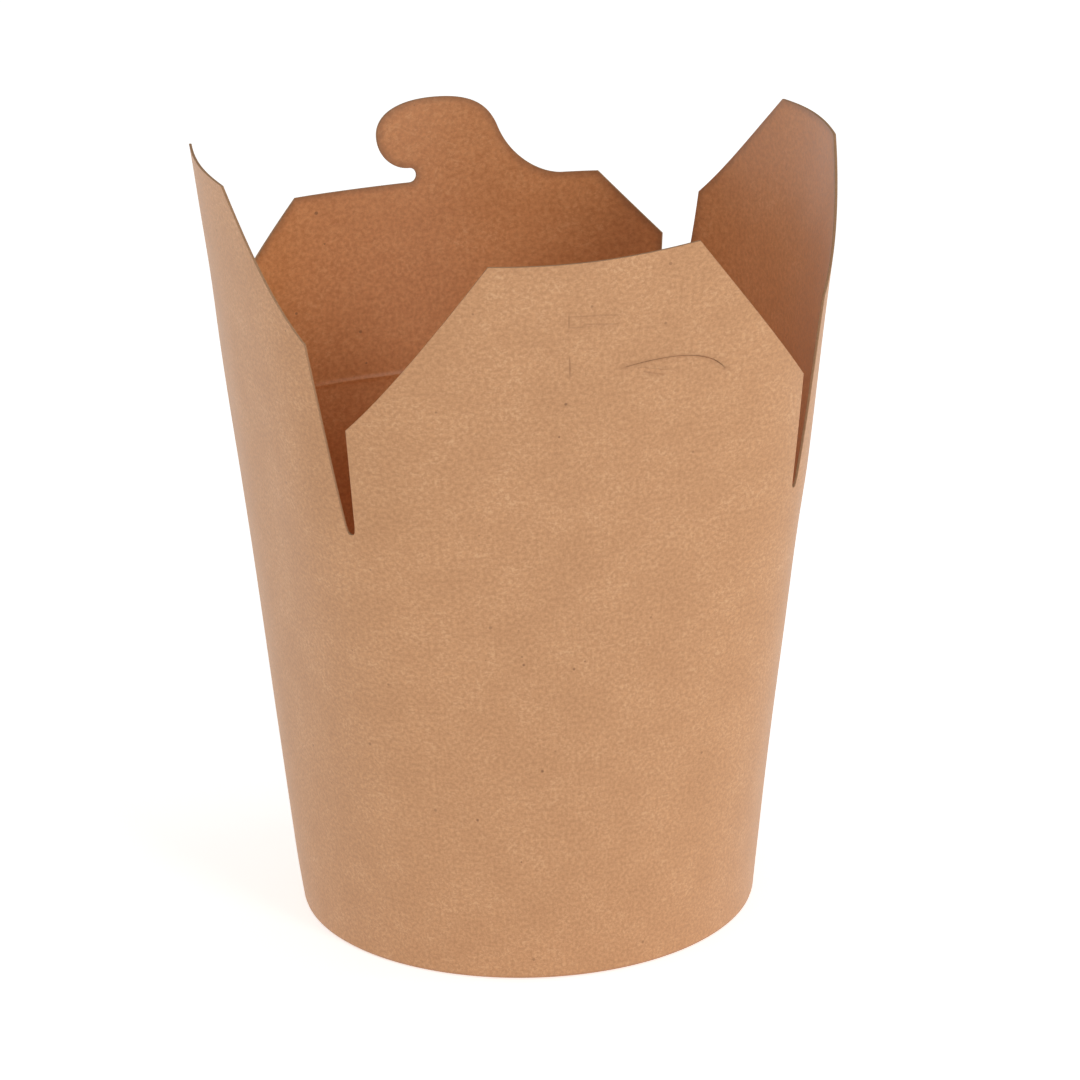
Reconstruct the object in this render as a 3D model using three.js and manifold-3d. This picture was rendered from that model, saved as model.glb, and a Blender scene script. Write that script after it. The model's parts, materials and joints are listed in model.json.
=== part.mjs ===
// An open takeaway food box of thin kraft board: a cup, round at its base, that widens upward and turns
// into a rounded square at its fold line, with four upright closing flaps above that line.
// Millimetres, +Z up. The origin is the centre of the round base, on the surface that the box stands on.
// The front flap faces -Y. The box is 80 across at its base and about 98 across at the fold line.
import * as THREE from 'three';
import Module from 'manifold-3d';
import { mergeVertices } from 'three/addons/utils/BufferGeometryUtils.js';

// The cup
const baseRadius = 40;
const wallSlope = 0.112; // growth of the mean radius for each millimetre of height
const boardThickness = 0.45;
const foldHeight = 81.3; // the four score lines, and the bottoms of the slits between the flaps
const tipHeight = 124; // height by which an upright flap has relaxed to its own curve
const roundHeight = 8; // the cup is exactly round up to here
const foldSquareness = 0.06; // 0 is a circle
const tipSquareness = 0.05;
const cornerTightness = 0.15; // share of the squareness that bows the sides and tightens the corners
const foldClearance = 0.3; // between the cup's rim and the lower edge of a flap

// The base: a disc with a skirt that the wall's lower edge is folded up around
const floorHeight = 5.2; // top of the disc
const skirtBottom = 0.8;
const hemHeight = 4.3;
const layerGap = 0.3; // between one layer of board and the next

// The flaps, in elevation as seen square on from outside
const slitWidth = 1.4;
const frontShoulder = { halfWidth: 38, height: 100.5 };
const frontTop = { halfWidth: 17.2, height: 127.6 };
const frontSkew = 0.026; // the front flap's outline runs a little out of true, right side up
const sideShoulder = { halfWidth: 34.7, height: 112.8 };
const sideTop = { halfWidth: 13.8, height: 134.4 };
const sideTopRise = 1; // the tip's edge bows up by this much
const backShoulder = { halfWidth: 38.2, height: 104.1 };
const backTop = { halfWidth: 27.6, height: 115.3 };

// The locking tab on the back flap, and the slit in the front flap that it goes into
const tabHalfWidth = 11.4;
const tabTop = 130.1;
const tabWaist = 124; // height at which the tab is widest
const notchHeight = 2.6; // the hook's open notch, beside the tab
const notchEnd = 5.6; // distance of the notch's rounded end from the flap's centre line
const tabFoot = 21.8; // where the tab's long curved side runs out into the flap's edge
const lockStart = { x: 5, height: 108.7 };
const lockBend = { x: 16.5, height: 111.4 }; // control point of the slit's curve
const lockEnd = { x: 22, height: 106.3 };
const lockWidth = 0.5;

// Facets
const wallSides = 96;
const wallRows = 9;
const flapColumns = 22;
const flapRows = 7;
const curveSteps = 7;
const sheetReach = 48; // degrees to each side of a flap's centre line, before it is cut to its outline
const sheetTop = 138;
const prismNear = 12; // the cutting prisms run from here to prismFar, measured outward from the cup's axis
const prismFar = 62;

const wasm = await Module();
wasm.setup();

const kraftBoard = new THREE.MeshStandardMaterial({ color: 0xc8966c, roughness: 0.85, metalness: 0 });
const insideBoard = new THREE.MeshStandardMaterial({ color: 0xae6e45, roughness: 0.8, metalness: 0 });

// Radius of the board's outer face at an azimuth, in radians from the front, and a height.
function outerRadius(azimuth, height) {
  const mean = baseRadius + wallSlope * height;
  const rise = Math.max(height - roundHeight, 0) / (foldHeight - roundHeight);
  const belowFold = foldSquareness * rise;
  const share = (height - foldHeight) / (tipHeight - foldHeight);
  const aboveFold = foldSquareness + (tipSquareness - foldSquareness) * share;
  const squareness = height < foldHeight ? belowFold : aboveFold;
  const sides = Math.cos(4 * azimuth) - cornerTightness * Math.cos(8 * azimuth);
  return mean * (1 - squareness * sides);
}

function boardPoint(azimuth, height, depth) {
  const radius = outerRadius(azimuth, height) - depth;
  return [radius * Math.sin(azimuth), -radius * Math.cos(azimuth), height];
}

// A closed body from a loop of points that is repeated around the cup.
function ringBody(loopAt, sides) {
  const points = [];
  const faces = [];
  const count = loopAt(0).length;
  for (let side = 0; side < sides; side += 1) {
    points.push(...loopAt((side / sides) * 2 * Math.PI));
    const next = (side + 1) % sides;
    for (let row = 0; row < count; row += 1) {
      const above = (row + 1) % count;
      const [a, b] = [side * count + row, next * count + row];
      const [c, d] = [next * count + above, side * count + above];
      faces.push(a, b, c, a, c, d);
    }
  }
  return indexedGeometry(points.flat(), faces);
}

// A closed body of even thickness: one grid for the outer face, one for the inner, and four edge strips.
function sheetBody(pointAt, columns, rows) {
  const points = [];
  const faces = [];
  const across = columns + 1;
  const layer = across * (rows + 1);
  for (const depth of [0, boardThickness]) {
    for (let row = 0; row <= rows; row += 1) {
      for (let column = 0; column <= columns; column += 1) {
        points.push(...pointAt(column / columns, row / rows, depth));
      }
    }
  }
  const quad = (a, b, c, d) => faces.push(a, b, c, a, c, d);
  for (let row = 0; row < rows; row += 1) {
    for (let column = 0; column < columns; column += 1) {
      const at = row * across + column;
      quad(at, at + 1, at + across + 1, at + across);
      quad(layer + at, layer + at + across, layer + at + across + 1, layer + at + 1);
    }
    const left = row * across;
    const right = left + columns;
    quad(left, left + across, layer + left + across, layer + left);
    quad(right, layer + right, layer + right + across, right + across);
  }
  for (let column = 0; column < columns; column += 1) {
    const top = rows * across + column;
    quad(column, layer + column, layer + column + 1, column + 1);
    quad(top, top + 1, layer + top + 1, layer + top);
  }
  return indexedGeometry(points, faces);
}

function indexedGeometry(positions, faces) {
  const geometry = new THREE.BufferGeometry();
  geometry.setAttribute('position', new THREE.Float32BufferAttribute(positions, 3));
  geometry.setIndex(faces);
  geometry.computeVertexNormals();
  return geometry;
}

function toManifold(geometry) {
  const bare = geometry.clone();
  bare.deleteAttribute('normal');
  bare.deleteAttribute('uv');
  const merged = mergeVertices(bare, 1e-5);
  return new wasm.Manifold(new wasm.Mesh({
    numProp: 3,
    vertProperties: new Float32Array(merged.attributes.position.array),
    triVerts: new Uint32Array(merged.index.array),
  }));
}

function fromManifold(solid) {
  const { vertProperties, triVerts } = solid.getMesh();
  return indexedGeometry(Array.from(vertProperties), Array.from(triVerts));
}

// The wall: one loop goes up the outer face, over the rim, down the inner face and round the folded hem.
function wallLoop(azimuth) {
  const loop = [];
  const hemFace = boardThickness + layerGap + boardThickness + layerGap;
  for (let row = 0; row <= wallRows; row += 1) {
    loop.push(boardPoint(azimuth, (row / wallRows) * foldHeight, 0));
  }
  for (let row = wallRows; row >= 0; row -= 1) {
    const height = boardThickness + (row / wallRows) * (foldHeight - boardThickness);
    loop.push(boardPoint(azimuth, height, boardThickness));
  }
  loop.push(boardPoint(azimuth, boardThickness, hemFace));
  loop.push(boardPoint(azimuth, hemHeight, hemFace));
  loop.push(boardPoint(azimuth, hemHeight, hemFace + boardThickness));
  loop.push(boardPoint(azimuth, 0, hemFace + boardThickness));
  return loop;
}

// The disc and its skirt: a lathe profile, closed on itself, that follows the wall's slope.
function baseGeometry() {
  const skirtFace = (height) => outerRadius(0, height) - boardThickness - layerGap;
  const profile = [
    [0, floorHeight - boardThickness],
    [skirtFace(floorHeight) - boardThickness, floorHeight - boardThickness],
    [skirtFace(skirtBottom) - boardThickness, skirtBottom],
    [skirtFace(skirtBottom), skirtBottom],
    [skirtFace(floorHeight), floorHeight],
    [0, floorHeight],
  ];
  const lathe = new THREE.LatheGeometry(profile.map(([x, y]) => new THREE.Vector2(x, y)), wallSides);
  lathe.rotateX(Math.PI / 2);
  return fromManifold(toManifold(lathe));
}

// Outlines are drawn in elevation: x across the flap, y up.
function slitEdge() {
  const corner = outerRadius(Math.PI / 4, foldHeight) * Math.SQRT1_2;
  return corner - (slitWidth / 2) * Math.SQRT1_2;
}

// Every flap starts with its lower edge and the slit's side up to the right shoulder.
function startOutline(shoulder, skew = 0) {
  const outline = new THREE.Shape();
  const foot = foldHeight + foldClearance;
  outline.moveTo(-slitEdge(), foot);
  outline.lineTo(slitEdge(), foot);
  outline.lineTo(shoulder.halfWidth, shoulder.height + skew * shoulder.halfWidth);
  return outline;
}

function frontOutline() {
  const outline = startOutline(frontShoulder, frontSkew);
  const corners = [
    [frontTop.halfWidth, frontTop.height],
    [-frontTop.halfWidth, frontTop.height],
    [-frontShoulder.halfWidth, frontShoulder.height],
  ];
  for (const [x, y] of corners) outline.lineTo(x, y + frontSkew * x);
  return outline;
}

function sideOutline() {
  const outline = startOutline(sideShoulder);
  outline.lineTo(sideTop.halfWidth, sideTop.height);
  outline.quadraticCurveTo(0, sideTop.height + 2 * sideTopRise, -sideTop.halfWidth, sideTop.height);
  outline.lineTo(-sideShoulder.halfWidth, sideShoulder.height);
  return outline;
}

// Seen from outside, the hook's notch is on the right and the tab's long curved side on the left.
function backOutline() {
  const outline = startOutline(backShoulder);
  const edge = backTop.height;
  const notchTop = edge + notchHeight;
  const [side, crown] = [tabHalfWidth, tabTop];
  outline.lineTo(backTop.halfWidth, edge);
  outline.lineTo(notchEnd, edge);
  outline.absarc(notchEnd, edge + notchHeight / 2, notchHeight / 2, -Math.PI / 2, Math.PI / 2, true);
  outline.bezierCurveTo(side - 2.6, notchTop, side, notchTop + 2.8, side, tabWaist);
  outline.bezierCurveTo(side, crown - 2.2, side * 0.62, crown, 0, crown);
  outline.bezierCurveTo(-side * 0.62, crown, -side + 1.4, crown - 1.6, -side, tabWaist);
  outline.bezierCurveTo(-side - 2, edge + 3.4, -tabFoot + 4, edge + 0.2, -tabFoot, edge);
  outline.lineTo(-backTop.halfWidth, backTop.height);
  outline.lineTo(-backShoulder.halfWidth, backShoulder.height);
  return outline;
}

// The lock slit: a narrow band along a curve that drops at its outer end.
function lockOutline() {
  const half = lockWidth / 2;
  const curveBetween = (shift) => new THREE.QuadraticBezierCurve(
    new THREE.Vector2(lockStart.x, lockStart.height + shift),
    new THREE.Vector2(lockBend.x, lockBend.height + shift),
    new THREE.Vector2(lockEnd.x, lockEnd.height + shift),
  ).getPoints(curveSteps);
  return new THREE.Shape([...curveBetween(-half), ...curveBetween(half).reverse()]);
}

// A prism through the board, from outside the flap to well inside it.
function prismAlongY(outline) {
  const prism = new THREE.ExtrudeGeometry(outline, {
    depth: prismFar - prismNear,
    bevelEnabled: false,
    curveSegments: curveSteps,
  });
  prism.rotateX(Math.PI / 2);
  prism.translate(0, -prismNear, 0);
  return toManifold(prism);
}

// A flap is the cup's own surface carried on upward, cut to its outline. It is made facing -Y.
function flapGeometry(outline, cutOut) {
  const reach = THREE.MathUtils.degToRad(sheetReach);
  const pointAt = (across, up, depth) => boardPoint(
    (across * 2 - 1) * reach,
    foldHeight + up * (sheetTop - foldHeight),
    depth,
  );
  const sheet = sheetBody(pointAt, flapColumns, flapRows);
  let flap = toManifold(sheet).intersect(prismAlongY(outline));
  if (cutOut) flap = flap.subtract(prismAlongY(cutOut));
  return fromManifold(flap);
}

function addPiece(group, name, geometry, material, turn = 0) {
  const piece = new THREE.Mesh(geometry, material);
  piece.name = name;
  piece.rotation.z = turn;
  group.add(piece);
}

const box = new THREE.Group();
addPiece(box, 'cup_wall', ringBody(wallLoop, wallSides), kraftBoard);
addPiece(box, 'cup_base', baseGeometry(), insideBoard);
addPiece(box, 'flap_front', flapGeometry(frontOutline(), lockOutline()), kraftBoard);
addPiece(box, 'flap_right', flapGeometry(sideOutline()), kraftBoard, Math.PI / 2);
addPiece(box, 'flap_back', flapGeometry(backOutline()), kraftBoard, Math.PI);
addPiece(box, 'flap_left', flapGeometry(sideOutline()), kraftBoard, -Math.PI / 2);

export default box;
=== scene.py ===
import bmesh
import bpy
import json
import math
import numpy as np
from mathutils import Matrix, Vector, geometry, noise


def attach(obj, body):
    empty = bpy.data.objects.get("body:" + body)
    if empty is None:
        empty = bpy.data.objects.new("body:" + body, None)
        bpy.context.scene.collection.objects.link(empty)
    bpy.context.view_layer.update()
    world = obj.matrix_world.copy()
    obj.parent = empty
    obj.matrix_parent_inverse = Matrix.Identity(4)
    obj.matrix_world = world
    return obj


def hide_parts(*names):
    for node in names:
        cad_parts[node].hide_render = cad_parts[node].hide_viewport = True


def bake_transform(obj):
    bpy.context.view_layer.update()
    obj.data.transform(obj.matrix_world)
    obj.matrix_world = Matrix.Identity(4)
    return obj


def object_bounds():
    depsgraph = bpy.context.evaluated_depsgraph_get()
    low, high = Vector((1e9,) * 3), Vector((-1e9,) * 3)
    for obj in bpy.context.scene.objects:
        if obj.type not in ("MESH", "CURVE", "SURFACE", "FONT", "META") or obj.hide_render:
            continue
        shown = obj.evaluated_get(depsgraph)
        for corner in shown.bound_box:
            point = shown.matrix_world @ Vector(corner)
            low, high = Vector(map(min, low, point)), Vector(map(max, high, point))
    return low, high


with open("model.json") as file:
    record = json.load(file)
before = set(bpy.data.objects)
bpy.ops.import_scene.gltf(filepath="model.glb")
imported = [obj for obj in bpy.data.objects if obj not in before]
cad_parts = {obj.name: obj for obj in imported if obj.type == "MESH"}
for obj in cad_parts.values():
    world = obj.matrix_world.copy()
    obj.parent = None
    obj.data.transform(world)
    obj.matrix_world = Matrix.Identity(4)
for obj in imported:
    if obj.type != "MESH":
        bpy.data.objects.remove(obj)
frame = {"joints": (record.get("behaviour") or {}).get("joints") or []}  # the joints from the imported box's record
cadLow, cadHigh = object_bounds()

# Shapes are worked out in millimetres and written to the meshes in metres.
# Azimuth runs from the front (-Y) towards +X. Depth runs from the board's outer face inward.
mm = 0.001
tiny = 1e-6  # for comparing places that should be the same
print("frame loaded")

cup = {
    "baseRadius": 40.0,
    "wallSlope": 0.112,  # growth of the mean radius for each millimetre of height
    "roundHeight": 8.0,  # exactly round up to here
    "foldSquareness": 0.06,  # 0 is a circle
    "tipSquareness": 0.05,
    "tipHeight": 124.0,
    "cornerTightness": 0.15,
    "foldEase": 0.0025,  # softens the turn from the wall's line to the flap's
    "board": 0.45,  # thickness
    "rippleSize": 26.0,  # distance between the board's faint swells
    "rippleFoot": 0.10,  # their height at the base
    "rippleTip": 0.55,  # and at the flaps' tips
    "rippleStart": 6.0,  # they fade out below this height
    "rippleStretch": 0.8,  # below 1 they are longer upward than across
    "scoreHeight": 0.13,  # bead that the score line raises on the inside
    "scoreWidth": 0.42,
    "footTuck": 0.45,  # the foot is this much narrower than a straight cone
    "footLean": (0.37, -0.56),  # and stands this far off the centre
    "seamAzimuth": 135.0,  # the glued side seam, under the slit at the back right
    "placeRadius": 46.0,  # turns azimuth into a length along the board
    "azimuthRounds": 14,  # rounds of the search for the azimuth at a distance to the side
}
# Soft dents and swells from handling: azimuth and height of the middle, reach in degrees and millimetres.
dents = (
    {"azimuth": 75, "height": 72, "reach": (24, 14), "push": -0.38},
    {"azimuth": 75, "height": 133, "reach": (26, 15), "push": 0.45},
    {"azimuth": -105, "height": 133, "reach": (22, 10), "push": -0.35},
)
foldHeight = frame["joints"][0]["pos_m"][2] / mm


def smoothStep(low, high, value):
    share = min(max((value - low) / (high - low), 0.0), 1.0)
    return share * share * (3 - 2 * share)


# The lesser of two values, with the corner between them rounded off.
def softMin(a, b, ease):
    overlap = max(ease - abs(a - b), 0.0) / ease
    return min(a, b) - overlap * overlap * ease / 4


# 1 at the foot, 0 from the fold line up.
def footShare(height):
    return max(1 - height / foldHeight, 0.0)


def boardRadius(azimuth, height):
    mean = cup["baseRadius"] + cup["wallSlope"] * height - cup["footTuck"] * footShare(height)
    rise = max(height - cup["roundHeight"], 0.0) / (foldHeight - cup["roundHeight"])
    share = (height - foldHeight) / (cup["tipHeight"] - foldHeight)
    above = cup["foldSquareness"] + (cup["tipSquareness"] - cup["foldSquareness"]) * share
    squareness = softMin(cup["foldSquareness"] * rise, above, cup["foldEase"])
    squareness = max(squareness, 0.0)
    sides = math.cos(4 * azimuth) - cup["cornerTightness"] * math.cos(8 * azimuth)
    return mean * (1 - squareness * sides)


def ripple(azimuth, height):
    size = cup["rippleSize"]
    radius = cup["placeRadius"]
    up = height * cup["rippleStretch"]
    place = Vector((radius * math.sin(azimuth), -radius * math.cos(azimuth), up)) / size
    share = smoothStep(0, cup["tipHeight"], height)
    swing = cup["rippleFoot"] + (cup["rippleTip"] - cup["rippleFoot"]) * share
    return swing * noise.noise(place) * smoothStep(0, cup["rippleStart"], height)


def dentPush(azimuth, height):
    push = 0.0
    for dent in dents:
        turn = (math.degrees(azimuth) - dent["azimuth"] + 180) % 360 - 180
        across, up = turn / dent["reach"][0], (height - dent["height"]) / dent["reach"][1]
        push += dent["push"] * math.exp(-across * across - up * up)
    return push


def boardPoint(azimuth, height, depth):
    radius = boardRadius(azimuth, height) + ripple(azimuth, height) + dentPush(azimuth, height) - depth
    lean = Vector(cup["footLean"]) * footShare(height)
    return Vector((lean.x + radius * math.sin(azimuth), lean.y - radius * math.cos(azimuth), height))


def scoreBead(height):
    return cup["scoreHeight"] * math.exp(-(((height - foldHeight) / cup["scoreWidth"]) ** 2))


# The azimuth at which the outer face lies x to the side of a flap's centre line.
def azimuthAt(x, height):
    azimuth = 0.0
    for _ in range(cup["azimuthRounds"]):
        azimuth = math.asin(x / boardRadius(azimuth, height))
    return azimuth


def boardPlace(azimuth, height, depth):
    seam = math.radians(cup["seamAzimuth"])
    while azimuth > seam + tiny:
        azimuth -= 2 * math.pi
    return Vector((azimuth * cup["placeRadius"], height, depth))


# Colours are given as they look on a screen, 0 to 255, and turned into the light values that shaders use,
# by the standard curve of screens.
def screenColour(colour):
    light = [((c / 255 + 0.055) / 1.055) ** 2.4 if c > 10 else c / 255 / 12.92 for c in colour]
    return (*light, 1.0)


def addNode(tree, kind, inputs=None, **settings):
    node = tree.nodes.new(kind)
    for name, value in settings.items():
        setattr(node, name, value)
    for name, value in (inputs or {}).items():
        if isinstance(value, bpy.types.NodeSocket):
            tree.links.new(value, node.inputs[name])
        else:
            node.inputs[name].default_value = value
    return node


def calculate(tree, operation, first, second=0.0):
    return addNode(tree, "ShaderNodeMath", {0: first, 1: second}, operation=operation).outputs[0]


def remap(tree, value, low, high, toLow=0.0, toHigh=1.0, smooth=False):
    kind = "SMOOTHSTEP" if smooth else "LINEAR"
    inputs = {"Value": value, "From Min": low, "From Max": high, "To Min": toLow, "To Max": toHigh}
    return addNode(tree, "ShaderNodeMapRange", inputs, interpolation_type=kind).outputs["Result"]


def mixColours(tree, factor, first, second):
    node = addNode(tree, "ShaderNodeMix", data_type="RGBA")
    for socket, value in ((0, factor), (6, first), (7, second)):
        if isinstance(value, bpy.types.NodeSocket):
            tree.links.new(value, node.inputs[socket])
        else:
            node.inputs[socket].default_value = value
    return node.outputs[2]


def newGroup(name, inputs, outputs):
    group = bpy.data.node_groups.new(name, "ShaderNodeTree")
    for title, kind in inputs.items():
        group.interface.new_socket(title, in_out="INPUT", socket_type=kind)
    for title in outputs:
        group.interface.new_socket(title, in_out="OUTPUT", socket_type="NodeSocketFloat")
    start = group.nodes.new("NodeGroupInput")
    end = group.nodes.new("NodeGroupOutput")
    return group, start.outputs, end.inputs


fibreForm = {
    "angles": (12, -31, 68),  # of the three sets of fibres, in degrees from the horizontal
    "line": (0.02, 0.005),  # a fibre fades in between these distances from its middle, in noise values
    "clouds": (0.42, 0.62),  # fibres are fewest and most where the clouds have these values
    "fewest": 0.25,
    "breaks": (0.46, 0.54),  # values of the grain that break the lines into single fibres
    "relief": 0.5,  # how far fibres stand out beside the grain
}


# Paper fibre: soft clouds, a fine grain, and thin fibres that lie mostly along the board.
def makePaperFibre():
    numbers = dict.fromkeys(("Cloud Size", "Grain Size", "Fibre Length", "Fibre Gap"), "NodeSocketFloat")
    group, given, put = newGroup(
        "paperFibre", {"Place": "NodeSocketVector", **numbers}, ("Cloud", "Grain", "Fibre", "Relief")
    )
    cloudScale = calculate(group, "DIVIDE", 1.0, given["Cloud Size"])
    grainScale = calculate(group, "DIVIDE", 1.0, given["Grain Size"])
    cloud = addNode(group, "ShaderNodeTexNoise", {
        "Vector": given["Place"], "Scale": cloudScale, "Detail": 3.0, "Roughness": 0.55})
    grain = addNode(group, "ShaderNodeTexNoise", {
        "Vector": given["Place"], "Scale": grainScale, "Detail": 4.0, "Roughness": 0.7})
    stretch = addNode(group, "ShaderNodeCombineXYZ", {
        0: calculate(group, "DIVIDE", 1.0, given["Fibre Length"]),
        1: calculate(group, "DIVIDE", 1.0, given["Fibre Gap"]),
        2: 1.0,
    })
    strands = 0.0
    for angle in fibreForm["angles"]:
        turned = addNode(group, "ShaderNodeVectorRotate", {
            "Vector": given["Place"], "Angle": math.radians(angle)}, rotation_type="Z_AXIS")
        longWay = addNode(group, "ShaderNodeVectorMath", {
            0: turned.outputs[0], 1: stretch.outputs[0]}, operation="MULTIPLY")
        strand = addNode(group, "ShaderNodeTexNoise", {
            "Vector": longWay.outputs[0], "Scale": 1.0, "Detail": 1.0, "Roughness": 0.5})
        away = calculate(group, "ABSOLUTE", calculate(group, "SUBTRACT", strand.outputs["Fac"], 0.5))
        line = remap(group, away, *fibreForm["line"], smooth=True)
        strands = calculate(group, "MAXIMUM", line, strands)
    shown = remap(group, cloud.outputs["Fac"], *fibreForm["clouds"], fibreForm["fewest"], 1.0)
    parts = remap(group, grain.outputs["Fac"], *fibreForm["breaks"], smooth=True)
    strands = calculate(group, "MULTIPLY", strands, calculate(group, "MULTIPLY", shown, parts))
    group.links.new(cloud.outputs["Fac"], put["Cloud"])
    group.links.new(grain.outputs["Fac"], put["Grain"])
    group.links.new(strands, put["Fibre"])
    raised = calculate(group, "MULTIPLY", strands, fibreForm["relief"])
    relief = calculate(group, "ADD", grain.outputs["Fac"], raised)
    group.links.new(relief, put["Relief"])
    return group


speckForm = {
    "spacing": 5.5,
    "size": 0.34,  # radius of the largest
    "smallShare": 3.0,  # the higher, the more of them are small
    "bareShare": 0.68,  # share of the board's cells that have none
    "blur": 0.08,
    "strength": 0.6,  # beside the named specks of the front
    "core": 0.35,  # share of a named speck's size that is fully dark
}


# Bark specks: small dark dots scattered at random, with a few larger ones among them.
def makeBarkSpecks():
    group, given, put = newGroup("barkSpecks", {
        "Place": "NodeSocketVector", "Spacing": "NodeSocketFloat", "Size": "NodeSocketFloat"}, ("Mask",))
    scale = calculate(group, "DIVIDE", 1.0, given["Spacing"])
    cells = addNode(group, "ShaderNodeTexVoronoi", {
        "Vector": given["Place"], "Scale": scale, "Randomness": 1.0}, voronoi_dimensions="2D")
    draw = addNode(group, "ShaderNodeSeparateColor", {"Color": cells.outputs["Color"]})
    share = calculate(group, "POWER", draw.outputs[0], speckForm["smallShare"])
    size = calculate(group, "MULTIPLY", given["Size"], share)
    distance = calculate(group, "MULTIPLY", cells.outputs["Distance"], given["Spacing"])
    edge = calculate(group, "SUBTRACT", size, distance)
    dot = remap(group, edge, 0.0, speckForm["blur"], smooth=True)
    some = calculate(group, "GREATER_THAN", draw.outputs[1], speckForm["bareShare"])
    group.links.new(calculate(group, "MULTIPLY", dot, some), put["Mask"])
    return group


outside = {
    "light": (207, 154, 108),
    "dark": (180, 129, 86),
    "fibre": (216, 170, 128),
    "speck": (132, 88, 54),
    "markAndShadeColour": (150, 103, 64),  # in pressed lines, and for painted shade beside the lock slit, in a crease under it and on the bottom rim
    "cloudSize": 9.0,
    "grainSize": 0.62,
    "fibreLength": 3.6,
    "fibreGap": 0.8,
    "roughness": 0.52,
    "bump": 0.35,
    "gloss": 0.5,
    "sheen": 0.16,
    "rimShadeHeight": 0.8,  # painted shade darkens the folded bottom rim up to here
    "shift": (0.0, 0.0, 0.0),
}
inside = {
    "light": (235, 164, 103),
    "dark": (208, 136, 77),
    "fibre": (240, 180, 124),
    "speck": (118, 74, 42),
    "markAndShadeColour": (138, 92, 56),
    "cloudSize": 11.0,
    "grainSize": 0.7,
    "fibreLength": 4.0,
    "fibreGap": 0.9,
    "roughness": 0.4,
    "bump": 0.25,
    "gloss": 0.7,
    "sheen": 0.28,
    "rimShadeHeight": 0.8,
    "shift": (310.0, 47.0, 5.0),
}
edge = {
    "light": (192, 150, 114),
    "dark": (152, 116, 84),
    "layer": 0.11,  # thickness of a layer of pulp
    "layerShare": 0.45,  # how much of the tone the layers make
    "grainShare": 0.6,  # and how much the grain does
    "cloudSize": 5.0,
    "grainSize": 0.4,
    "fibreLength": 1.2,
    "fibreGap": 0.4,
    "roughness": 0.8,
    "bump": 0.5,
    "bumpHeight": 0.05,  # millimetres
    "gloss": 0.2,
}
kraft = {  # what both faces of the board share
    "noise": (0.3, 0.7),  # most values of the grain lie between these
    "tones": (0.32, 0.68),  # values of the noise that give the dark and the light colour
    "cloudSwing": 0.12,
    "fibreStrength": 0.6,
    "speckStrength": 0.85,
    "rimShadeStrength": 0.7,
    "roughnessSwing": 0.12,
    "bumpHeight": 0.04,
    "sheenRoughness": 0.35,
}
# Dark specks that stand out on the front: distance to the side, height and size.
frontSpecks = (
    (-4.7, 103.5, 0.34), (-5.7, 98.0, 0.24), (-11.2, 58.5, 0.32), (-3.0, 57.1, 0.3), (-1.2, 58.3, 0.2),
    (-8.2, 39.1, 0.36), (-18.5, 30.3, 0.34), (-11.6, 22.4, 0.22),
)


def newMaterial(name):
    material = bpy.data.materials.new(name)
    material.use_nodes = True
    tree = material.node_tree
    tree.nodes.clear()
    board = addNode(tree, "ShaderNodeAttribute", attribute_name="boardPlace").outputs["Vector"]
    return material, tree, board


def addPaper(tree, fibres, place, look):
    paper = addNode(tree, "ShaderNodeGroup", node_tree=fibres)
    tree.links.new(place, paper.inputs["Place"])
    for socket, key in (("Cloud Size", "cloudSize"), ("Grain Size", "grainSize"),
                        ("Fibre Length", "fibreLength"), ("Fibre Gap", "fibreGap")):
        paper.inputs[socket].default_value = look[key]
    return paper


def addPaperBump(tree, paper, strength, distance):
    return addNode(tree, "ShaderNodeBump", {
        "Strength": strength, "Distance": distance * mm, "Height": paper.outputs["Relief"]}).outputs[0]


def addShader(tree, settings):
    shader = addNode(tree, "ShaderNodeBsdfPrincipled", settings)
    end = addNode(tree, "ShaderNodeOutputMaterial")
    tree.links.new(shader.outputs[0], end.inputs["Surface"])


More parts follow.
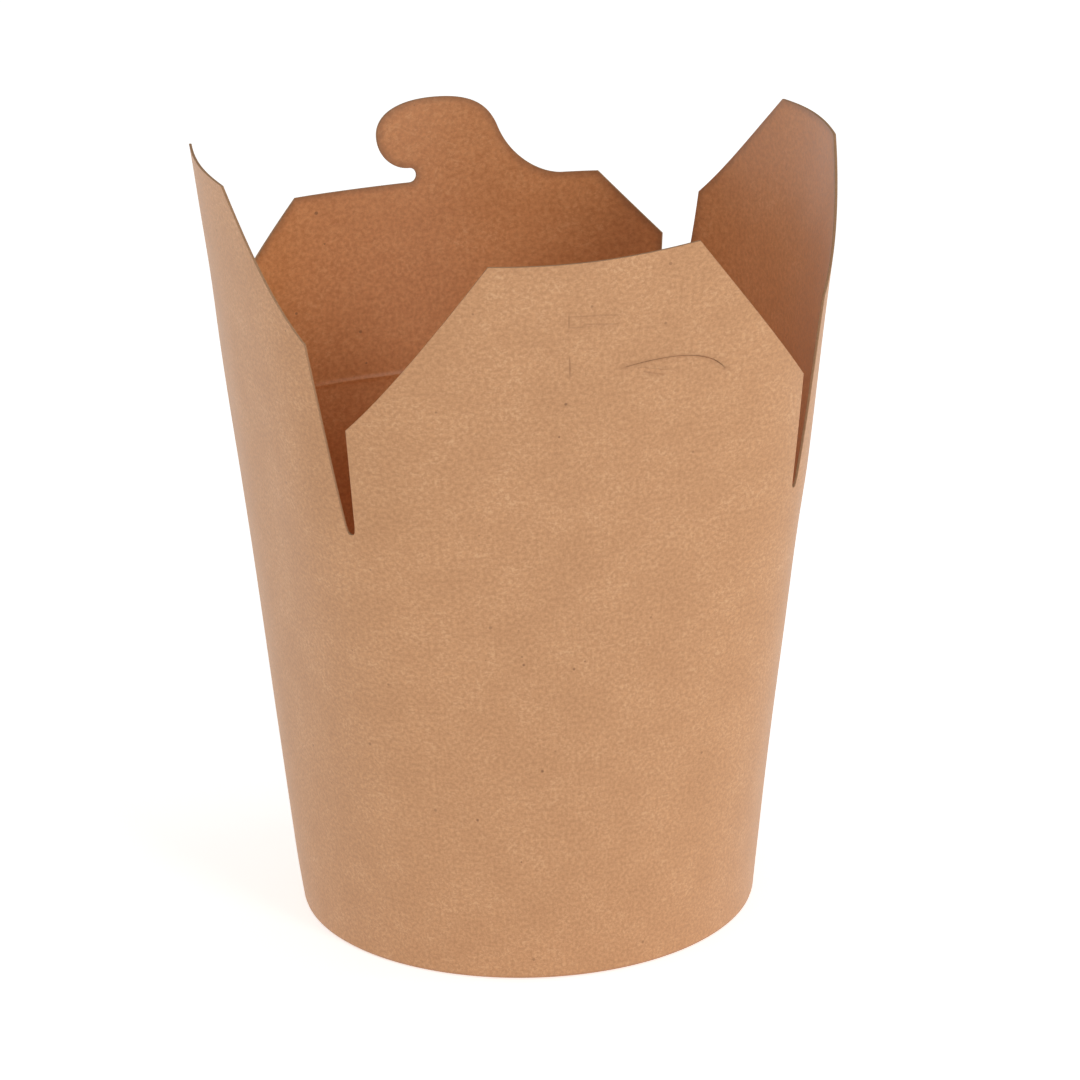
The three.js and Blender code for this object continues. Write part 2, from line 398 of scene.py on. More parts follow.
def makeKraft(name, look, fibres, specks, namedSpecks=()):
    material, tree, board = newMaterial(name)
    place = addNode(tree, "ShaderNodeVectorMath", {0: board, 1: look["shift"]}, operation="ADD").outputs[0]
    paper = addPaper(tree, fibres, place, look)
    dots = addNode(tree, "ShaderNodeGroup", node_tree=specks)
    tree.links.new(place, dots.inputs["Place"])
    dots.inputs["Spacing"].default_value = speckForm["spacing"]
    dots.inputs["Size"].default_value = speckForm["size"]
    swing = kraft["cloudSwing"]
    cloud = remap(tree, paper.outputs["Cloud"], *kraft["tones"], -swing, swing)
    tone = calculate(tree, "ADD", remap(tree, paper.outputs["Grain"], *kraft["tones"]), cloud)
    colour = mixColours(tree, tone, screenColour(look["dark"]), screenColour(look["light"]))
    strand = calculate(tree, "MULTIPLY", paper.outputs["Fibre"], kraft["fibreStrength"])
    colour = mixColours(tree, strand, colour, screenColour(look["fibre"]))
    dark = calculate(tree, "MULTIPLY", dots.outputs["Mask"], speckForm["strength"])
    for x, height, size in namedSpecks:
        centre = boardPlace(azimuthAt(x, height), height, 0.0)
        away = addNode(tree, "ShaderNodeVectorMath", {0: board, 1: centre}, operation="DISTANCE")
        speck = remap(tree, away.outputs["Value"], size, size * speckForm["core"], smooth=True)
        dark = calculate(tree, "MAXIMUM", dark, speck)
    dark = calculate(tree, "MULTIPLY", dark, kraft["speckStrength"])
    colour = mixColours(tree, dark, colour, screenColour(look["speck"]))
    # Marks from the mesh in the mark colour: pressed hairlines, painted shade beside the lock slit and in a
    # crease under it, and darkening along the flaps' cut edges.
    pressed = addNode(tree, "ShaderNodeAttribute", attribute_name="markAndShadeMask").outputs["Fac"]
    height = addNode(tree, "ShaderNodeSeparateXYZ", {0: board}).outputs["Y"]
    # Painted shade along the bottom rim, as a contact shadow.
    rim = remap(tree, height, look["rimShadeHeight"], 0.0, 0.0, kraft["rimShadeStrength"], smooth=True)
    pressed = calculate(tree, "MAXIMUM", pressed, rim)
    colour = mixColours(tree, pressed, colour, screenColour(look["markAndShadeColour"]))
    low, high = look["roughness"], look["roughness"] + kraft["roughnessSwing"]
    addShader(tree, {
        "Base Color": colour,
        "Roughness": remap(tree, paper.outputs["Grain"], *kraft["noise"], low, high),
        "Normal": addPaperBump(tree, paper, look["bump"], kraft["bumpHeight"]),
        "Specular IOR Level": look["gloss"],
        "Sheen Weight": look["sheen"],
        "Sheen Roughness": kraft["sheenRoughness"],
    })
    return material


# The board's cut edge: rough pulp in faint layers.
def makeCutEdge(fibres):
    material, tree, board = newMaterial("cutEdge")
    paper = addPaper(tree, fibres, board, edge)
    depth = addNode(tree, "ShaderNodeSeparateXYZ", {0: board}).outputs["Z"]
    layers = calculate(tree, "DIVIDE", calculate(tree, "PINGPONG", depth, edge["layer"]), edge["layer"])
    layers = calculate(tree, "MULTIPLY", layers, edge["layerShare"])
    grain = remap(tree, paper.outputs["Grain"], *kraft["noise"], 0.0, edge["grainShare"])
    tone = calculate(tree, "ADD", layers, grain)
    addShader(tree, {
        "Base Color": mixColours(tree, tone, screenColour(edge["dark"]), screenColour(edge["light"])),
        "Roughness": edge["roughness"],
        "Normal": addPaperBump(tree, paper, edge["bump"], edge["bumpHeight"]),
        "Specular IOR Level": edge["gloss"],
    })
    return material


paperFibre = makePaperFibre()
barkSpecks = makeBarkSpecks()
kraftOutside = makeKraft("kraftOutside", outside, paperFibre, barkSpecks, frontSpecks)
kraftInside = makeKraft("kraftInside", inside, paperFibre, barkSpecks)
cutEdge = makeCutEdge(paperFibre)
print("materials made")

outerSide, innerSide, edgeSide = 0, 1, 2  # material slots of every board piece
joining = {
    "mergeDistance": 1e-5,  # points that are nearer than this become one
    "spotDigits": 5,  # points that are alike to this many digits are one spot
    "sharpAngle": 38,  # degrees between faces from which their edge looks sharp
}


# A piece from points in millimetres, faces as (corner numbers, material slot), and a place on the board
# for each point. Points at one spot are merged, and faces meet sharply where their slots differ.
def makePiece(name, points, faces, places, markAndShadeValues=None):
    bm = bmesh.new()
    placeLayer = bm.loops.layers.float_vector.new("boardPlace")
    markAndShadeLayer = bm.verts.layers.float.new("markAndShadeMask")
    verts = [bm.verts.new(Vector(point) * mm) for point in points]
    for number, value in (markAndShadeValues or {}).items():
        verts[number][markAndShadeLayer] = value
    for corners, slot in faces:
        spots = {tuple(round(c, joining["spotDigits"]) for c in points[k]) for k in corners}
        if len(spots) < 3:
            continue
        face = bm.faces.new([verts[k] for k in corners])
        face.material_index = slot
        face.smooth = True
        for loop, k in zip(face.loops, corners):
            loop[placeLayer] = places[k]
    bmesh.ops.remove_doubles(bm, verts=bm.verts, dist=joining["mergeDistance"] * mm)
    loose = [v for v in bm.verts if not v.link_faces]
    bmesh.ops.delete(bm, geom=loose, context="VERTS")
    for line in bm.edges:
        sides = [face.material_index for face in line.link_faces]
        bends = line.calc_face_angle(0.0) > math.radians(joining["sharpAngle"])
        line.smooth = len(set(sides)) == 1 and not bends
    mesh = bpy.data.meshes.new(name)
    bm.to_mesh(mesh)
    bm.free()
    piece = bpy.data.objects.new(name, mesh)
    bpy.context.scene.collection.objects.link(piece)
    for material in (kraftOutside, kraftInside, cutEdge):
        mesh.materials.append(material)
    return piece


wall = {
    "sides": 288,
    "firstRows": (1.2, 1.8),  # heights of the mesh's rows at the foot
    "rowStep": 2.5,
    "foldRows": (4.2, 3.0, 2.0, 1.3, 0.9, 0.6, 0.4, 0.2, 0.0),  # and their distances below the fold line
    "foldRoom": 5.0,  # the even rows end this far below the fold line
    "foot": ((0.0, 0.62), (0.06, 0.3), (0.24, 0.09), (0.62, 0.0)),  # height and depth of the rolled rim
    "lapColumns": 7,  # width of the glued lap, in columns of the mesh
    "lapStep": 0.36,  # height of the step at the lap's edge
    "lapEase": 14.0,  # degrees over which the board dives under the lap
    "lapTop": (74.5, 80.2),  # the lap thins out between these heights
    "lapFoot": (5.4, 7.0),
    "pressedStep": 0.45,  # share of the step that is left where the base is pressed on
    "lapStart": 0.8,  # the step fades out below this height
    "hemHeight": 4.3,
    "hemFace": 1.5,  # depth of the hem's outer face
    "hemEase": (0.1, 0.12),  # height and depth of the soft corners inside the fold
    "hemRoll": ((0.5, 0.0), (0.12, 0.16), (0.0, 0.5)),  # height and depth of the hem's own rolled rim
    "knurl": 0.07,  # the hem's pressed ribs
    "knurlFoot": 1.0,
    "knurlTop": 0.5,  # below the hem's edge
}


def lapShare(height):
    top = 1 - smoothStep(*wall["lapTop"], height)
    return top * smoothStep(*wall["lapFoot"], height)


def lapStepOutside(height):
    top = 1 - smoothStep(*wall["lapTop"], height)
    foot = smoothStep(*wall["lapFoot"], height)
    start = smoothStep(0.0, wall["lapStart"], height)
    pressed = wall["pressedStep"]
    return wall["lapStep"] * top * (pressed + (1 - pressed) * foot) * start


def wallHeights():
    heights = list(wall["firstRows"])
    while heights[-1] + wall["rowStep"] < foldHeight - wall["foldRoom"]:
        heights.append(heights[-1] + wall["rowStep"])
    return heights + [foldHeight - drop for drop in wall["foldRows"]]


# One loop up the outer face, over the rim, down the inner face and round the folded hem. Each row is a
# height, a depth and the material slot of the face above it.
def wallLoop(azimuth, column, dive, inLap, heights):
    board = cup["board"]
    face = wall["hemFace"]
    back = face + board
    rise, ease = wall["hemEase"]
    rib = wall["knurl"] * (1 if column % 2 else -1)
    loop = [(h, depth, outerSide) for h, depth in wall["foot"]]
    loop += [(h, dive * lapStepOutside(h), outerSide) for h in heights[:-1]]
    loop.append((heights[-1], dive * lapStepOutside(heights[-1]), edgeSide))
    for h in reversed(heights):
        layers = wall["lapStep"] * lapShare(h) * (1 if inLap else dive)
        loop.append((h, board + layers + scoreBead(h), innerSide))
    loop += [
        (board + rise, board, innerSide),
        (board, board + ease, innerSide),
        (board, face - ease, innerSide),
        (board + rise, face, innerSide),
        (wall["hemHeight"], face, edgeSide),
        (wall["hemHeight"], back, outerSide),
        (wall["hemHeight"] - wall["knurlTop"], back + rib, outerSide),
        (wall["knurlFoot"], back + rib, outerSide),
    ]
    return loop + [(h, back - depth, outerSide) for h, depth in wall["hemRoll"]]


def makeWall():
    seam = math.radians(cup["seamAzimuth"])
    step = 2 * math.pi / wall["sides"]
    first = seam - 2 * math.pi
    columns = [(first + step * k, k <= wall["lapColumns"]) for k in range(wall["sides"] + 1)]
    lapEnd = first + step * wall["lapColumns"]
    columns.insert(wall["lapColumns"] + 1, (lapEnd, False))  # the lap's inner edge is a step
    heights = wallHeights()
    points, places, faces = [], [], []
    count = 0
    for number, (azimuth, inLap) in enumerate(columns):
        share = (math.degrees(azimuth) - cup["seamAzimuth"] + wall["lapEase"]) / wall["lapEase"]
        dive = smoothStep(0.0, 1.0, share)
        loop = wallLoop(azimuth, number, dive, inLap, heights)
        count = len(loop)
        for height, depth, _ in loop:
            points.append(boardPoint(azimuth, height, depth))
            places.append(Vector((azimuth * cup["placeRadius"], height, depth)))
    slots = [slot for _, _, slot in loop]
    total = len(columns)
    for side in range(total):
        following = (side + 1) % total
        isStep = columns[following][0] - columns[side][0] < tiny  # the lap's edge, or the seam's last face
        for row in range(count):
            above = (row + 1) % count
            corners = (side * count + row, following * count + row,
                       following * count + above, side * count + above)
            faces.append((corners, edgeSide if isStep else slots[row]))
    piece = makePiece("wall_board", points, faces, places)
    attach(piece, "cup")
    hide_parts("cup_wall")
    return piece


makeWall()
print("wall made")

base = {
    "floorHeight": 5.2,
    "skirtBottom": 0.8,
    "skirtDepth": 0.75,  # from the wall's outer face to the skirt's
    "shoulder": 1.1,  # radius of the disc's rounded edge
    "shoulderTurns": (20, 40, 60, 75, 90),  # its rows, in degrees
    "shoulderThin": 0.35,  # share of its thickness that the board loses in height where it bends
    "sides": 144,
    "rings": 16,
    "sag": 0.35,  # how far the disc's middle hangs
    "creaseInset": 2.6,  # the pressed band just inside the edge
    "creaseWidth": 0.9,
    "creaseDepth": 0.12,
    "swell": 0.12,  # faint unevenness of the disc, its size and how far out it goes
    "swellSize": 14.0,
    "swellSeed": 3.0,
    "swellReach": 0.7,
    "grainShift": 200.0,  # a stretch of paper grain that the wall doesn't use
}


# The disc's section, from near its middle out, down the skirt and back underneath. Each row is a radius, a
# height and the material slot of the face after it.
def baseProfile(reach):
    board = cup["board"]
    top = base["floorHeight"]
    foot = boardRadius(0, base["skirtBottom"]) - base["skirtDepth"]
    shoulder = base["shoulder"]
    upper = []
    for ring in range(1, base["rings"] + 1):
        radius = (reach - shoulder) * ring / base["rings"]
        fromCrease = radius - (reach - shoulder - base["creaseInset"])
        crease = math.exp(-((fromCrease / base["creaseWidth"]) ** 2))
        sag = base["sag"] * (1 - (radius / reach) ** 2) + base["creaseDepth"] * crease
        upper.append((radius, top - sag))
    for turn in base["shoulderTurns"]:
        angle = math.radians(turn)
        upper.append((reach - shoulder * (1 - math.sin(angle)), top - shoulder * (1 - math.cos(angle))))
    upper.append((foot, base["skirtBottom"]))
    lower = [(foot - board, base["skirtBottom"])]
    for radius, height in reversed(upper[:-1]):
        outward = smoothStep(reach - shoulder, reach, radius)
        thick = board * (1 - outward * base["shoulderThin"])
        lower.append((radius - board * outward, height - thick))
    profile = [(r, h, innerSide) for r, h in upper[:-1]] + [(*upper[-1], edgeSide)]
    return profile + [(r, h, outerSide) for r, h in lower]


# The base: a disc whose edge is folded down into a skirt, between the wall and its hem.
def makeBase():
    top = base["floorHeight"]
    reach = boardRadius(0, top) - base["skirtDepth"]
    profile = baseProfile(reach)
    middle = Vector((*cup["footLean"], 0)) * footShare(top)
    upperCentre = middle + Vector((0, 0, top - base["sag"]))
    points = [upperCentre, upperCentre - Vector((0, 0, cup["board"]))]
    for side in range(base["sides"]):
        azimuth = 2 * math.pi * side / base["sides"]
        for radius, height, _ in profile:
            x, y = radius * math.sin(azimuth), radius * math.cos(azimuth)
            swell = base["swell"] * noise.noise(Vector((x, y, base["swellSeed"])) / base["swellSize"])
            swell *= 1 - smoothStep(reach * base["swellReach"], reach - base["shoulder"], radius)
            points.append(middle + Vector((x, -y, height + swell)))
    count = len(profile)
    faces = []
    for side in range(base["sides"]):
        here = 2 + side * count
        there = 2 + (side + 1) % base["sides"] * count
        faces.append(((0, here, there), innerSide))
        faces.append(((1, there + count - 1, here + count - 1), outerSide))
        for row in range(count - 1):
            corners = (here + row, here + row + 1, there + row + 1, there + row)
            faces.append((corners, profile[row][2]))
    places = [Vector((point.x, point.y + base["grainShift"], point.z)) for point in points]
    piece = makePiece("base_disc", points, faces, places)
    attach(piece, "cup")
    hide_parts("cup_base")
    return piece


makeBase()
print("base made")

flapCut = {
    "slitWidth": 1.4,
    "slitGap": 0.12,  # height at which the slit's round bottom starts above the fold line
    "slitSteps": 7,  # along each half of its round bottom
    "edgeStep": 0.7,  # between points along a cut edge
    "gridStep": 1.3,  # between points on the face
    "rowShare": 0.87,  # and between their rows, in grid steps
    "firstRow": 0.9,  # from the last fold row to the first of them
    "halfSpan": 52.0,  # the grid reaches this far to each side before it is cut out
    "foldRows": (0.2, 0.42, 0.66, 0.95, 1.3, 1.8, 2.5, 3.4, 4.5),  # rows just above the fold line
    "foldClear": 0.18,  # room left along the cut edges in those rows
    "cutClear": 0.42,  # and above them, in grid steps
    "holeClear": 0.3,  # and round the lock slit and fine points
    "fineClear": 0.09,  # room that fine points leave along the cut edges
    "bevel": 0.05,  # the cut edges are this soft
    "holeBevel": 0.03,  # and the lock slit's
    "edgeDark": 0.55,  # darkening of the inner face along a cut edge
    "edgeDarkReach": 0.75,
    "bend": 11.0,  # height above the fold line over which a flap bends when it is folded
}
frontSkew = 0.026  # the front flap's outline runs a little out of true
# Outlines in elevation, seen square on from outside, from the right shoulder to the left one.
flaps = {
    "front": {
        "turn": 0,
        "skew": frontSkew,
        "moves": [("line", (38, 100.5)), ("line", (17.2, 128.0)), ("bow", (0, 126.2), (-17.2, 127.6)),
                  ("line", (-38, 100.5))],
    },
    "right": {
        "turn": 90,
        "moves": [("bow", (34.7, 98), (34.2, 113.4)), ("bow", (23.9, 124.3), (12.5, 134.3)),
                  ("bow", (-0.6, 135.0), (-13.8, 134.2)), ("line", (-34.7, 112.8))],
    },
    "back": {
        "turn": 180,
        "moves": [("line", (38.2, 104.1)), ("line", (27.6, 115.3)), ("line", (5.6, 115.3)),
                  ("arc", (5.6, 116.6), 1.3, 270, 90),
                  ("bend", (8.8, 117.9), (11.4, 120.7), (11.4, 124)),
                  ("bend", (11.4, 127.9), (7.1, 130.1), (0, 130.1)),
                  ("bend", (-6.7, 130.1), (-9.7, 128.3), (-11.2, 123.8)),
                  ("bend", (-13.1, 118.8), (-17.8, 115.6), (-21.8, 115.45)),
                  ("line", (-28.4, 115.6)), ("line", (-38.3, 104.9))],
    },
    "left": {
        "turn": -90,
        "moves": [("line", (34.7, 112.8)), ("line", (14.0, 134.2)), ("bow", (2, 134.4), (-13.8, 134.7)),
                  ("line", (-34.7, 112.8))],
    },
}
curveSteps = {"bow": 36, "bend": 22, "arc": 14}
lock = {  # the slit that the tab goes into, with the tongue of board below it
    "start": Vector((5, 108.8)),
    "control": Vector((18.3, 111.25)),
    "end": Vector((22, 106.3)),
    "width": 0.07,
    "taper": 6.0,  # how fast it widens from its ends
    "tip": 0.12,  # share of the width at the very end
    "steps": 44,  # along each side
    "aim": 0.01,  # share of its length over which its direction is taken
    "tongueSink": 0.14,
    "lipRise": 0.05,
    "fade": 2.4,  # the tongue and the lip reach about this far
    "samples": 60,  # points of its curve that distances are measured from
    "tint": 0.42,  # painted shade beside the slit
    "shadeReach": 0.35,
}
# Hairlines pressed into the front flap, and creases under the lock slit. Depth is negative for a ridge.
pressLines = (
    {"points": ((-4.4, 118.2), (-4.37, 116.3)), "depth": 0.05, "tint": 0.58},
    {"points": ((-4.4, 118.15), (-1.2, 118.0), (0.6, 118.0), (3.3, 117.75)), "depth": 0.035, "tint": 0.42},
    {"points": ((-4.37, 116.32), (-2.3, 116.2), (-1.8, 116.7), (3.3, 116.25)), "depth": 0.035, "tint": 0.4},
    {"points": ((-4.17, 110.75), (-4.13, 108.75)), "depth": 0.06, "tint": 0.68},
    {"points": ((7.4, 108.4), (11.9, 107.4)), "depth": -0.16, "tint": 0.0},
    # the tint of this crease's groove is painted shade
    {"points": ((8.2, 107.7), (11.3, 106.8)), "depth": 0.1, "tint": 0.4},
)
lineWidth = 0.15
lineStep = 0.25  # between fine points of the mesh along a hairline
besideLine = (-0.2, -0.1, -0.045, 0.0, 0.045, 0.1, 0.2)  # their distances to its sides
besideLock = (-1.2, -0.75, -0.42, 0.42, 0.75, 1.2)  # and those above and below the lock slit


def tracePath(start, moves):
    path = [Vector(start)]

    def follow(curve, steps):
        path.extend(curve(k / steps) for k in range(1, steps + 1))

    for kind, *move in moves:
        here = path[-1]
        if kind == "line":
            there = Vector(move[0])
            steps = max(1, round((there - here).length / flapCut["edgeStep"]))
            follow(lambda t: here.lerp(there, t), steps)
        elif kind == "bow":
            middle, there = Vector(move[0]), Vector(move[1])
            follow(lambda t: here.lerp(middle, t).lerp(middle.lerp(there, t), t), curveSteps["bow"])
        elif kind == "bend":
            handles = [here] + [Vector(p) for p in move]
            follow(lambda t: bezierPoint(handles, t), curveSteps["bend"])
        else:
            centre, radius = Vector(move[0]), move[1]
            begin, finish = math.radians(move[2]), math.radians(move[3])
            follow(lambda t: centre + radius * Vector((
                math.cos(begin + (finish - begin) * t),
                math.sin(begin + (finish - begin) * t))), curveSteps["arc"])
    return path


def bezierPoint(handles, t):
    line = handles
    while len(line) > 1:
        line = [a.lerp(b, t) for a, b in zip(line, line[1:])]
    return line[0]


# Flap outlines are cut in the flat board: across is azimuth times a radius, up is height.
def flat(azimuth, height):
    return Vector((azimuth * cup["placeRadius"], height))


def flatFromElevation(point):
    return flat(azimuthAt(point.x, point.y), point.y)


def flapOutline(plan):
    corner = math.pi / 4
    gap = flapCut["slitGap"]
    half = flapCut["slitWidth"] / 2
    columns = wall["sides"] // 4
    foot = [flat(corner * (2 * k / columns - 1), foldHeight) for k in range(columns + 1)]
    cornerRadius = boardRadius(corner, foldHeight)

    def slitRound(side):
        curve = []
        for k in range(flapCut["slitSteps"] + 1):
            angle = math.pi / 2 * k / flapCut["slitSteps"]
            inward = half * math.sin(angle) / cornerRadius
            height = foldHeight + gap + half * (1 - math.cos(angle))
            curve.append(flat(side * (corner - inward), height))
        return curve

    right = slitRound(1)
    left = slitRound(-1)
    height = foldHeight + gap + half
    x = cornerRadius * math.sin(corner) - half * math.sqrt(0.5)
    skew = plan.get("skew", 0.0)
    moves = []
    for kind, *move in plan["moves"]:
        moves.append((kind, *[(m[0], m[1] + skew * m[0]) if isinstance(m, tuple) else m for m in move]))
    path = tracePath((x, height), moves + [("line", (-x, height))])
    body = [flatFromElevation(point) for point in path[1:-1]]
    return foot + right + body + left[::-1]


def lockCurve(t):
    return lock["start"].lerp(lock["control"], t).lerp(lock["control"].lerp(lock["end"], t), t)


# The lock slit as a narrow hole, pointed at both ends and run clockwise.
def lockHole():
    upper, lower = [], []
    for k in range(lock["steps"] + 1):
        t = k / lock["steps"]
        here = lockCurve(t)
        ahead = lockCurve(min(t + lock["aim"], 1)) - lockCurve(max(t - lock["aim"], 0))
        side = Vector((-ahead.y, ahead.x)).normalized()
        half = lock["width"] / 2 * min(1.0, lock["taper"] * min(t, 1 - t) + lock["tip"])
        upper.append(flatFromElevation(here + side * half))
        lower.append(flatFromElevation(here - side * half))
    return upper + lower[::-1]


def insetLoop(loop, distance, keep):
    moved = []
    for k, point in enumerate(loop):
        before, after = loop[k - 1], loop[(k + 1) % len(loop)]
        along = (after - before).normalized()
        inward = Vector((-along.y, along.x))
        moved.append(point.copy() if keep(k) else point + inward * distance)
    return moved


def distanceToLine(points, start, end):
    along = end - start
    share = np.clip(((points - start) @ along) / (along @ along), 0, 1)
    return np.linalg.norm(points - start - share[:, None] * along, axis=1)


# Depth that hairlines, creases and the lock slit's tongue add to each flat point, and the tint of the
# hairlines, with painted shade in the crease under the slit and beside the slit's edges.
def frontRelief(flatPoints):
    depth = np.zeros(len(flatPoints))
    tint = np.zeros(len(flatPoints))
    for line in pressLines:
        route = [np.array(flatFromElevation(Vector(p))) for p in line["points"]]
        away = np.min([distanceToLine(flatPoints, a, b) for a, b in zip(route, route[1:])], axis=0)
        groove = np.exp(-((away / lineWidth) ** 2))
        depth += line["depth"] * groove
        tint = np.maximum(tint, line["tint"] * groove)
    samples = lock["samples"]
    curve = np.array([flatFromElevation(lockCurve(k / samples)) for k in range(samples + 1)])
    offsets = flatPoints[:, None, :] - curve[None, :, :]
    away = np.linalg.norm(offsets, axis=2)
    nearest = away.argmin(axis=1)
    share = nearest / samples
    distance = away[np.arange(len(flatPoints)), nearest]
    below = offsets[np.arange(len(flatPoints)), nearest, 1] < 0
    swell = np.sin(np.pi * share) * np.exp(-((distance / lock["fade"]) ** 2))
    depth += np.where(below, lock["tongueSink"], -lock["lipRise"]) * swell
    tint = np.maximum(tint, lock["tint"] * np.exp(-((distance / lock["shadeReach"]) ** 2)))
    return depth, tint


def densePoints():
    extra = []
    for line in pressLines:
        for a, b in zip(line["points"], line["points"][1:]):
            a, b = flatFromElevation(Vector(a)), flatFromElevation(Vector(b))
            along = (b - a).normalized()
            side = Vector((-along.y, along.x))
            steps = max(1, round((b - a).length / lineStep))
            extra += [a.lerp(b, k / steps) + side * offset
                      for k in range(steps + 1) for offset in besideLine]
    for k in range(lock["samples"] + 1):
        here = flatFromElevation(lockCurve(k / lock["samples"]))
        extra += [here + Vector((0.0, offset)) for offset in besideLock]
    return extra


def insideLoop(points, loop):
    inside = np.zeros(len(points), bool)
    a = np.array(loop)
    b = np.roll(a, -1, axis=0)
    for (x1, y1), (x2, y2) in zip(a, b):
        if y1 == y2:
            continue
        crosses = (y1 > points[:, 1]) != (y2 > points[:, 1])
        at = x1 + (points[:, 1] - y1) / (y2 - y1) * (x2 - x1)
        inside ^= crosses & (points[:, 0] < at)
    return inside


def keepClear(points, loops, clearance):
    keep = np.ones(len(points), bool)
    for loop in loops:
        for spot in np.array(loop):
            keep &= np.linalg.norm(points - spot, axis=1) > clearance
    return points[keep]


def faceGrid(outline, holes, dense):
    step = flapCut["gridStep"]
    columns = wall["sides"] // 4
    corner = math.pi / 4
    rows = []
    for rise in flapCut["foldRows"]:
        rows += [flat(corner * (2 * k / columns - 1), foldHeight + rise) for k in range(1, columns)]
    top = max(p.y for p in outline)
    foldTop = foldHeight + flapCut["foldRows"][-1]
    height = foldTop + step * flapCut["firstRow"]
    odd = 0
    while height < top:
        across = -flapCut["halfSpan"] + odd * step / 2
        while across < flapCut["halfSpan"]:
            rows.append(Vector((across, height)))
            across += step
        height += step * flapCut["rowShare"]
        odd = 1 - odd
    grid = np.array(rows)
    low = grid[:, 1] < foldTop + step * flapCut["firstRow"] / 2
    near = keepClear(grid[low], [outline], flapCut["foldClear"])
    far = keepClear(grid[~low], [outline], step * flapCut["cutClear"])
    grid = np.concatenate([near, far])
    if holes:
        grid = keepClear(grid, holes, step * flapCut["holeClear"])
    if dense:
        fine = keepClear(np.array(dense), [outline] + holes, flapCut["fineClear"])
        some = fine[::3]  # enough of them to thin out the grid round all
        clear = keepClear(grid, [some], step * flapCut["holeClear"])
        grid = np.concatenate([clear, fine])
    grid = grid[insideLoop(grid, outline)]
    for hole in holes:
        grid = grid[~insideLoop(grid, hole)]
    return grid


# How much the inner face is darkened at each flat point near the cut edge.
def edgeDarkening(flatPoints, outline, edgeFoot):
    cut = np.array([point for point in outline if point.y > edgeFoot])
    away = np.array([np.linalg.norm(cut - spot, axis=1).min() for spot in flatPoints])
    return flapCut["edgeDark"] * np.exp(-((away / flapCut["edgeDarkReach"]) ** 2))


# Fills a flap's outline with triangles and leaves its holes open. Gives the points, the triangles, and the
# number that each point of the loops has among the points.
def fillFace(facing, grid):
    spots, edges = [], []
    for loop in facing:
        start = len(spots)
        spots += loop
        edges += [(start + k, start + (k + 1) % len(loop)) for k in range(len(loop))]
    spots += [Vector(p) for p in grid]
    found, _, triangles, origins, _, _ = geometry.delaunay_2d_cdt(spots, edges, [], 0, tiny)
    found = np.array([tuple(v) for v in found])
    merged = {source: number for number, sources in enumerate(origins) for source in sources}
    centres = np.array([found[list(t)].mean(axis=0) for t in triangles])
    wanted = insideLoop(centres, facing[0])
    for hole in facing[1:]:
        wanted &= ~insideLoop(centres, hole)
    return found, [triangle for triangle, keep in zip(triangles, wanted) if keep], merged


def makeFlap(side, plan):
    outline = flapOutline(plan)
    isFront = side == "front"
    holes = [lockHole()] if isFront else []
    bevel = flapCut["bevel"]
    edgeFoot = foldHeight + flapCut["slitGap"] + tiny
    facing = [insetLoop(outline, bevel, lambda k: outline[k].y <= edgeFoot)]
    facing += [insetLoop(hole, flapCut["holeBevel"], lambda k: False) for hole in holes]
    grid = faceGrid(facing[0], facing[1:], densePoints() if isFront else [])
    found, triangles, merged = fillFace(facing, grid)
    turn = math.radians(plan["turn"])
    board = cup["board"]
    relief, tint = frontRelief(found) if isFront else (np.zeros(len(found)), np.zeros(len(found)))
    points, places, markAndShadeValues, faces = [], [], {}, []

    def addPoint(spot, depth, sunk):
        across = spot[0] / cup["placeRadius"]
        points.append(boardPoint(across + turn, spot[1], depth + sunk))
        across *= 1 - tiny  # keeps a corner on its own side of the seam
        places.append(boardPlace(across + turn, spot[1], depth))
        return len(points) - 1

    for number, spot in enumerate(found):
        markAndShadeValues[addPoint(spot, 0.0, relief[number])] = float(tint[number])
    inner = len(points)
    edgeDark = edgeDarkening(found, outline, edgeFoot)
    for number, spot in enumerate(found):
        markAndShadeValues[addPoint(spot, board + scoreBead(spot[1]), relief[number])] = float(edgeDark[number])
    for a, b, c in triangles:
        faces.append(((a, b, c), outerSide))
        faces.append(((inner + a, inner + c, inner + b), innerSide))
    start = 0
    for loop, cut in zip(facing, [outline] + holes):
        sunk, _ = frontRelief(np.array(cut)) if isFront else (np.zeros(len(cut)), None)
        rings = []
        for depth in (bevel, board - bevel):
            ring = []
            for spot, drop in zip(cut, sunk):
                rise = scoreBead(spot[1]) if depth > board / 2 else 0.0
                ring.append(addPoint(spot, depth + rise, drop))
            rings.append(ring)
        outerRing = [merged[start + k] for k in range(len(loop))]
        innerRing = [inner + k for k in outerRing]
        stack = [outerRing, *rings, innerRing]
        for upper, lower in zip(stack, stack[1:]):
            for k in range(len(loop)):
                ahead = (k + 1) % len(loop)
                faces.append(((upper[k], lower[k], lower[ahead], upper[ahead]), edgeSide))
        start += len(loop)
    piece = makePiece(f"{side}_flap_board", points, faces, places, markAndShadeValues)
    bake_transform(piece)
    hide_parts(f"flap_{side}")
    print(f"{side} flap made")
    return piece


for side, plan in flaps.items():
    makeFlap(side, plan)

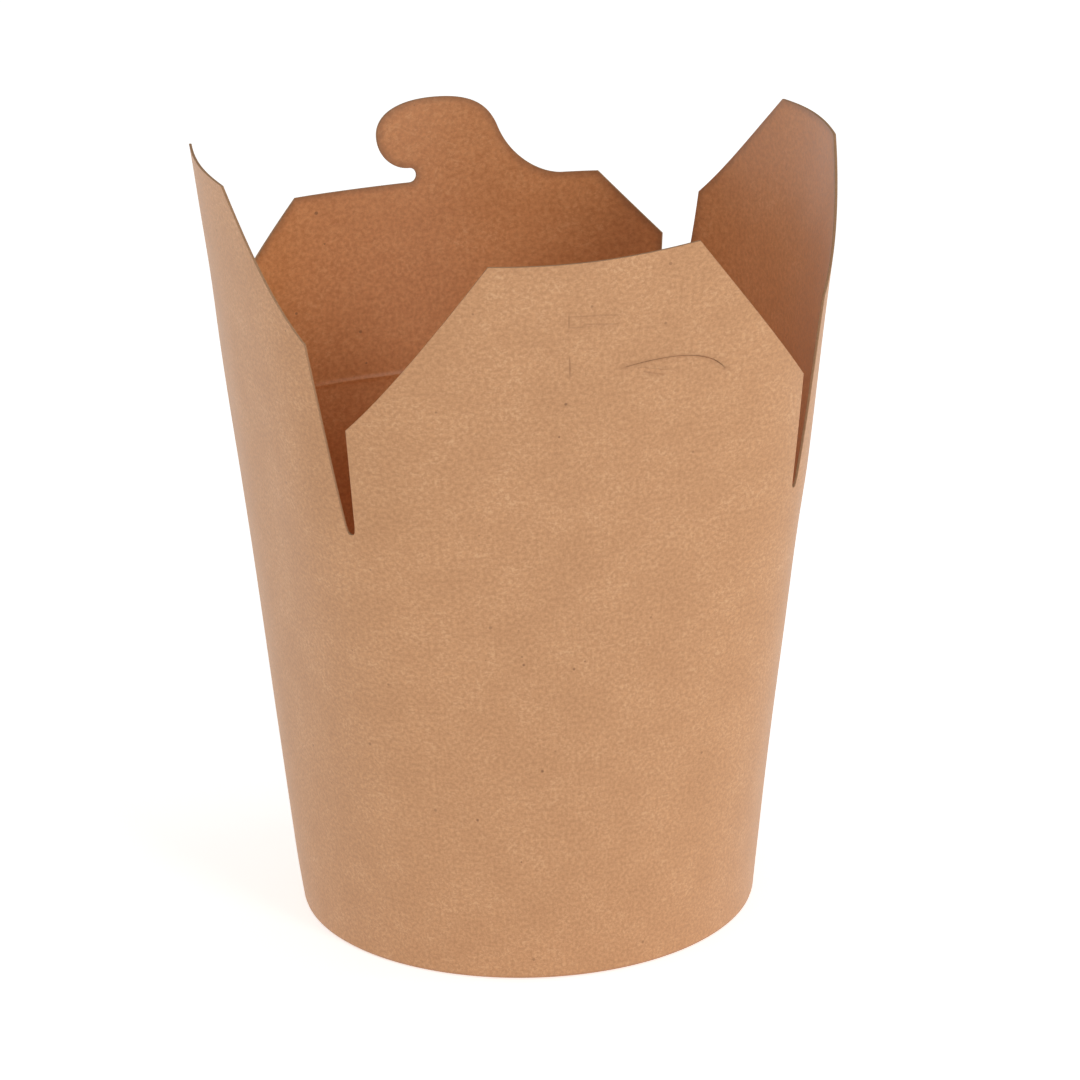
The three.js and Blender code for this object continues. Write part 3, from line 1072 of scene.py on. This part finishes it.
studio = {
    "lens": 133.33,  # millimetres, as is the sensor
    "sensor": 36.0,
    "azimuth": -15.0,  # the camera stands a little to the left of the front
    "elevation": 19.5,
    "roll": -1.1,
    "distance": 686.6,  # millimetres, as is the target
    "target": (3.555, -0.952, 63.8),
    "white": (1.0, 1.0, 1.0, 1.0),  # of the sky and of the floor's own light
    "sky": 0.39,
    "floor": (250, 250, 249),
    "floorRoughness": 0.9,
    "floorReach": 6.0,  # metres, as is the gap
    "floorGap": 0.0001,  # the floor lies a hair under the box
    "floorGlow": 0.58,  # a lit table, as for photographs on pure white
}
lights = (  # azimuth and elevation in degrees, distance and size in metres, power in watts
    {"name": "key", "azimuth": 24, "elevation": 21, "distance": 2.4, "size": 0.6, "power": 11.8},
    {"name": "right", "azimuth": 82, "elevation": 26, "distance": 2.4, "size": 1.8, "power": 9.6},
    {"name": "left", "azimuth": -104, "elevation": 32, "distance": 2.4, "size": 2.0, "power": 7.4},
)


def directionFrom(azimuth, elevation):
    a, e = math.radians(azimuth), math.radians(elevation)
    return Vector((math.sin(a) * math.cos(e), -math.cos(a) * math.cos(e), math.sin(e)))


def placeCamera():
    data = bpy.data.cameras.new("photoCamera")
    data.lens = studio["lens"]
    data.sensor_width = studio["sensor"]
    camera = bpy.data.objects.new("photoCamera", data)
    bpy.context.scene.collection.objects.link(camera)
    back = directionFrom(studio["azimuth"], studio["elevation"])
    turned = (-back).to_track_quat("-Z", "Y").to_matrix().to_4x4()
    roll = Matrix.Rotation(math.radians(studio["roll"]), 4, "Z")
    spot = (Vector(studio["target"]) + back * studio["distance"]) * mm
    camera.matrix_world = Matrix.Translation(spot) @ turned @ roll
    bpy.context.scene.camera = camera


def placeLights():
    middle = (cadLow + cadHigh) / 2
    for light in lights:
        data = bpy.data.lights.new(light["name"], "AREA")
        data.shape = "DISK"
        data.size = light["size"]
        data.energy = light["power"]
        lamp = bpy.data.objects.new(light["name"], data)
        bpy.context.scene.collection.objects.link(lamp)
        away = directionFrom(light["azimuth"], light["elevation"])
        lamp.location = middle + away * light["distance"]
        lamp.rotation_euler = (-away).to_track_quat("-Z", "Y").to_euler()


def makeStudio():
    world = bpy.data.worlds.new("studioSky")
    world.use_nodes = True
    background = world.node_tree.nodes["Background"]
    background.inputs["Color"].default_value = studio["white"]
    background.inputs["Strength"].default_value = studio["sky"]
    bpy.context.scene.world = world
    bpy.context.scene.view_settings.view_transform = "Standard"
    mesh = bpy.data.meshes.new("studioFloor")
    reach, top = studio["floorReach"], -studio["floorGap"]
    corners = [(-reach, -reach, top), (reach, -reach, top), (reach, reach, top), (-reach, reach, top)]
    mesh.from_pydata(corners, [], [(0, 1, 2, 3)])
    floor = bpy.data.objects.new("studioFloor", mesh)
    bpy.context.scene.collection.objects.link(floor)
    paper = bpy.data.materials.new("studioPaper")
    paper.use_nodes = True
    shader = paper.node_tree.nodes["Principled BSDF"]
    shader.inputs["Base Color"].default_value = screenColour(studio["floor"])
    shader.inputs["Roughness"].default_value = studio["floorRoughness"]
    shader.inputs["Emission Color"].default_value = studio["white"]
    shader.inputs["Emission Strength"].default_value = studio["floorGlow"]
    mesh.materials.append(paper)


placeCamera()
placeLights()
makeStudio()
print("studio made")
